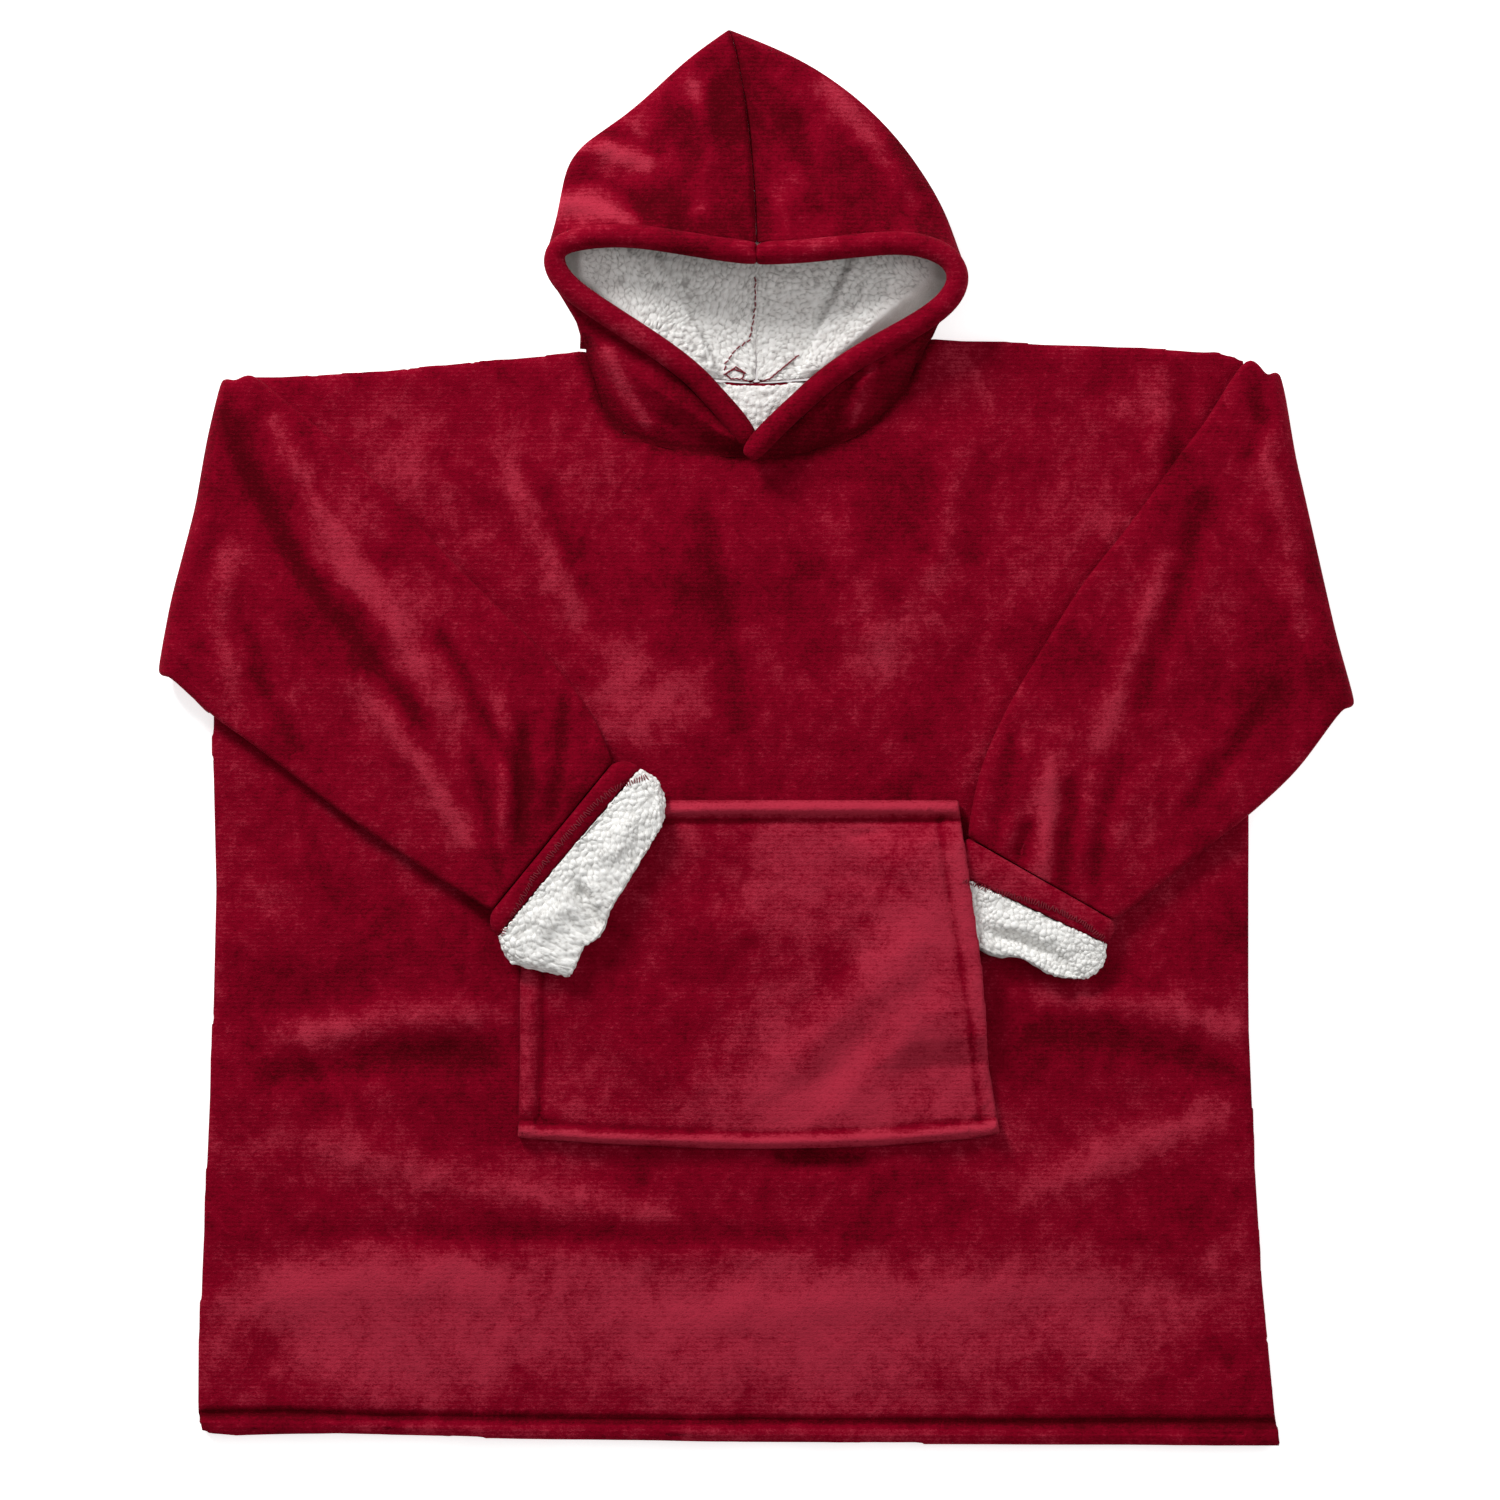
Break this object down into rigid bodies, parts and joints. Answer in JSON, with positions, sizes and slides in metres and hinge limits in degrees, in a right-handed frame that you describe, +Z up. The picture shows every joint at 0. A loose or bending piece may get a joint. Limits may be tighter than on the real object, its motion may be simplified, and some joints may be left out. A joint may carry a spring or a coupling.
{
  "type": "wearable blanket hoodie",
  "caption": "Oversized wearable blanket hoodie of plush fleece with sherpa lining, kangaroo pocket and hood, laid flat with its sleeves folded forward",
  "frame": {"origin": "centre of the garment's bounding box in X and Y, on the surface it lies on", "axes": "+Y towards the point of the hood, +Z up from the surface towards the front of the garment, +X towards the wearer's left sleeve"},
  "size_m": [0.9966, 1.1799, 0.0534],
  "materials": {
    "fleece": "wine-red plush fleece with a brushed nap",
    "sherpa": "off-white curly sherpa pile"
  },
  "bodies": {
    "root": {"body_back": "fleece", "body_front": "fleece", "pocket": "fleece", "sleeve_right": "fleece", "sleeve_left": "fleece", "cuff_band_right": "fleece", "cuff_band_left": "fleece", "cuff_right": "sherpa", "cuff_left": "sherpa", "hood_right": "fleece", "hood_left": "fleece", "hood_lining_right": "sherpa", "hood_lining_left": "sherpa", "hood_hem_right": "fleece", "hood_hem_left": "fleece"}
  },
  "joints": []
}
